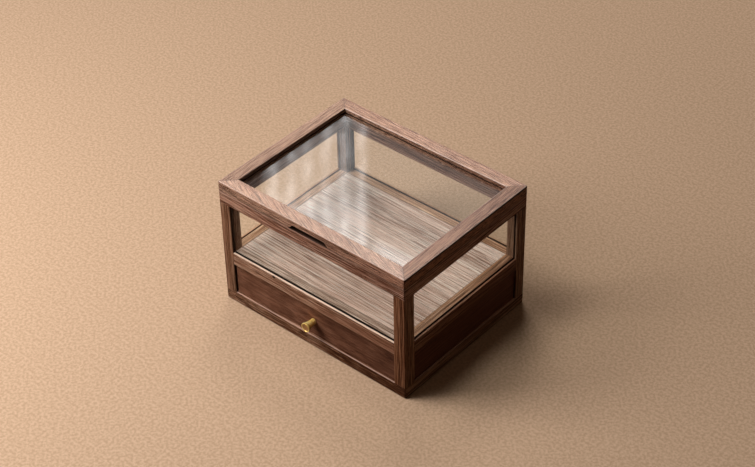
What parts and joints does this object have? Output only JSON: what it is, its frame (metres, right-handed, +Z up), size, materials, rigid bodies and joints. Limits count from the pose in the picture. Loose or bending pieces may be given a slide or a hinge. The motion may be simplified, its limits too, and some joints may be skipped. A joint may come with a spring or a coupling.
{
  "type": "tea cabinet",
  "caption": "Walnut table-top tea cabinet: a glazed display case with a hinged glazed lid, over a shallow drawer with a brass knob.",
  "frame": {"origin": "centre of the underside of the bottom frame, on the surface that the cabinet stands on", "axes": "+X to the right along the drawer front, +Y from the front to the hinged back, +Z up"},
  "size_m": [0.32, 0.2696, 0.2],
  "materials": {
    "walnut_lid": "oiled walnut, satin",
    "walnut_frame": "oiled walnut, satin",
    "walnut_panel": "oiled walnut, satin",
    "display_board": "limed walnut veneer, matt",
    "lining_wood": "sanded, waxed light wood",
    "clear_glass": "clear float glass",
    "brass": "brushed brass",
    "steel": "zinc plated"
  },
  "bodies": {
    "cabinet": {"base_board": "lining_wood", "bottom_back_rail": "walnut_frame", "bottom_front_rail": "walnut_frame", "bottom_left_rail": "walnut_frame", "bottom_right_rail": "walnut_frame", "display_floor": "display_board", "drawer_left_guide": "lining_wood", "drawer_left_runner": "lining_wood", "drawer_right_guide": "lining_wood", "drawer_right_runner": "lining_wood", "hinge_body_leaves": "brass", "hinge_body_screws": "brass", "hinge_pins": "brass", "lower_back_panel": "walnut_panel", "lower_left_panel": "walnut_panel", "lower_right_panel": "walnut_panel", "mid_back_rail": "walnut_frame", "mid_front_rail": "walnut_frame", "mid_left_rail": "walnut_frame", "mid_right_rail": "walnut_frame", "post_back_left": "walnut_frame", "post_back_right": "walnut_frame", "post_front_left": "walnut_frame", "post_front_right": "walnut_frame", "top_back_rail": "walnut_frame", "top_front_rail": "walnut_frame", "top_left_rail": "walnut_frame", "top_right_rail": "walnut_frame", "window_back_glass": "clear_glass", "window_front_glass": "clear_glass", "window_left_glass": "clear_glass", "window_right_glass": "clear_glass"},
    "lid": {"hinge_lid_leaves": "brass", "hinge_lid_screws": "brass", "lid_back_rail": "walnut_lid", "lid_front_rail": "walnut_lid", "lid_glass": "clear_glass", "lid_left_rail": "walnut_lid", "lid_right_rail": "walnut_lid"},
    "drawer": {"drawer_back": "lining_wood", "drawer_bottom": "lining_wood", "drawer_front": "walnut_panel", "drawer_knob": "brass", "drawer_left_side": "lining_wood", "drawer_right_side": "lining_wood", "knob_screw": "steel"}
  },
  "joints": [
    {"name": "lid_hinge", "type": "hinge", "parent": "cabinet", "child": "lid", "pos_m": [0, 0.1275, 0.18435], "axis": [-1, 0, 0], "range_deg": [0, 95]},
    {"name": "drawer_slide", "type": "slide", "parent": "cabinet", "child": "drawer", "axis": [0, -1, 0], "range_m": [0, 0.18]}
  ]
}
